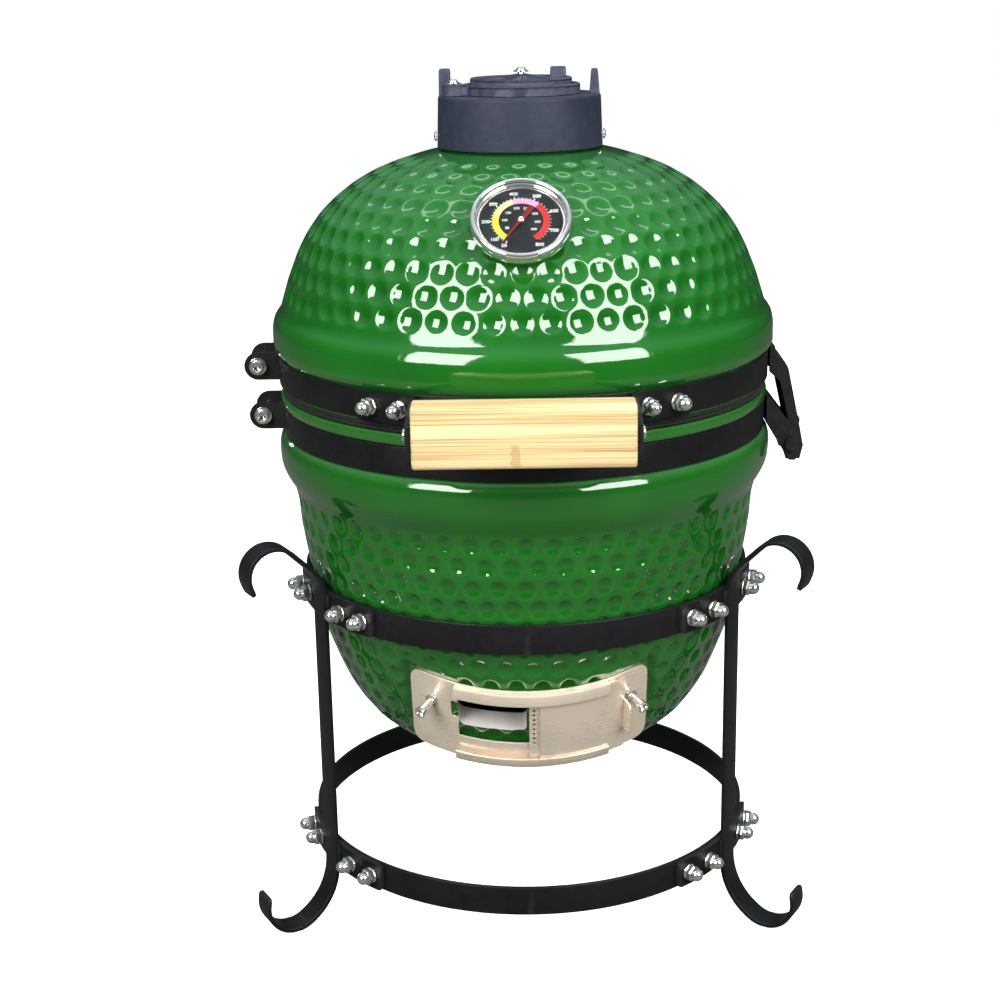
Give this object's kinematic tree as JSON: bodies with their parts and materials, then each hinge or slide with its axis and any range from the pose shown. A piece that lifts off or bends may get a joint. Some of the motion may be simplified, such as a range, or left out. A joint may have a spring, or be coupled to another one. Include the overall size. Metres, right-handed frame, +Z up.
{
  "type": "kamado charcoal grill",
  "caption": "small kamado charcoal grill, a glazed ceramic egg with hinged lid, chimney cap, thermometer and sliding draught door on a scrolled steel stand",
  "frame": {"origin": "on the floor, under the middle of the bounding box", "axes": "+Z up, -Y the side of the handle and draught door, +X the side of the hinge"},
  "size_m": [0.3838, 0.4364, 0.581],
  "materials": {
    "green_glaze": "glossy green glaze over dimpled ceramic",
    "black_steel": "satin black powder coat",
    "cast_iron": "dark painted cast iron, fine grain",
    "stainless": "bent stainless sheet",
    "bright_steel": "bright plated fasteners and case",
    "bamboo": "smooth laminated bamboo",
    "felt": "black felt seal",
    "firebrick": "unglazed fire clay",
    "dial_black": "matt black printed dial",
    "needle_red": "satin red",
    "lens": "clear glass"
  },
  "bodies": {
    "base": {"base_bowl": "green_glaze", "fire_box": "firebrick", "fire_ring": "firebrick", "charcoal_grate": "cast_iron", "cooking_grid": "bright_steel", "base_gasket": "felt", "base_band": "black_steel", "base_clamp_bolt": "bright_steel", "base_clamp_nut": "bright_steel", "base_hinge_bracket": "black_steel", "hinge_pin": "black_steel", "cradle_ring": "black_steel", "foot_ring": "black_steel", "leg_front_left": "black_steel", "leg_front_right": "black_steel", "leg_rear": "black_steel", "vent_frame": "stainless", "vent_stud_left": "bright_steel", "vent_stud_right": "bright_steel", "cradle_nut_front_left_1": "bright_steel", "cradle_nut_front_left_2": "bright_steel", "cradle_nut_front_left_3": "bright_steel", "cradle_nut_front_left_4": "bright_steel", "cradle_nut_front_right_1": "bright_steel", "cradle_nut_front_right_2": "bright_steel", "cradle_nut_front_right_3": "bright_steel", "cradle_nut_front_right_4": "bright_steel", "cradle_nut_rear_1": "bright_steel", "cradle_nut_rear_2": "bright_steel", "cradle_nut_rear_3": "bright_steel", "cradle_nut_rear_4": "bright_steel"},
    "lid": {"lid_dome": "green_glaze", "lid_gasket": "felt", "lid_band": "black_steel", "lid_clamp_bolt": "bright_steel", "lid_clamp_nut": "bright_steel", "lid_hinge_arm": "black_steel", "handle_bracket_left": "black_steel", "handle_bracket_right": "black_steel", "handle_grip": "bamboo", "grip_screw_left": "bright_steel", "grip_screw_right": "bright_steel", "handle_nut_left_1": "bright_steel", "handle_nut_left_2": "bright_steel", "handle_nut_right_1": "bright_steel", "handle_nut_right_2": "bright_steel", "cap_collar": "cast_iron", "collar_screw_left": "bright_steel", "collar_screw_right": "bright_steel", "swing_pivot_screw": "bright_steel", "thermometer_case": "bright_steel", "thermometer_dial": "dial_black", "thermometer_lens": "lens", "thermometer_nut": "bright_steel"},
    "swing_plate": {"cap_swing_plate": "cast_iron", "wheel_screw": "bright_steel"},
    "daisy_wheel": {"daisy_wheel": "cast_iron"},
    "needle": {"thermometer_needle": "needle_red"},
    "vent_door": {"vent_door": "stainless"},
    "vent_screen": {"vent_screen": "stainless"}
  },
  "joints": [
    {"name": "lid_hinge", "type": "hinge", "parent": "base", "child": "lid", "pos_m": [0.18365, 0.00378, 0.326], "axis": [0, 1, 0], "range_deg": [0, 75]},
    {"name": "cap_swing", "type": "hinge", "parent": "lid", "child": "swing_plate", "pos_m": [-0.04415, -0.01122, 0.566], "axis": [0, 0, -1], "range_deg": [0, 100]},
    {"name": "daisy_turn", "type": "hinge", "parent": "swing_plate", "child": "daisy_wheel", "pos_m": [0.00035, 0.00378, 0.571], "axis": [0, 0, 1], "continuous": true},
    {"name": "needle_turn", "type": "hinge", "parent": "lid", "child": "needle", "pos_m": [-0.00085, -0.12722, 0.4925], "axis": [0, 0.682, -0.7314], "range_deg": [0, 290]},
    {"name": "vent_door_slide", "type": "hinge", "parent": "base", "child": "vent_door", "pos_m": [-0.00085, -0.01196, 0.20872], "axis": [0, 0.3649, -0.9311], "range_deg": [0, 25]},
    {"name": "vent_screen_slide", "type": "hinge", "parent": "base", "child": "vent_screen", "pos_m": [-0.00085, -0.01196, 0.20872], "axis": [0, 0.3649, -0.9311], "range_deg": [0, 22]}
  ]
}
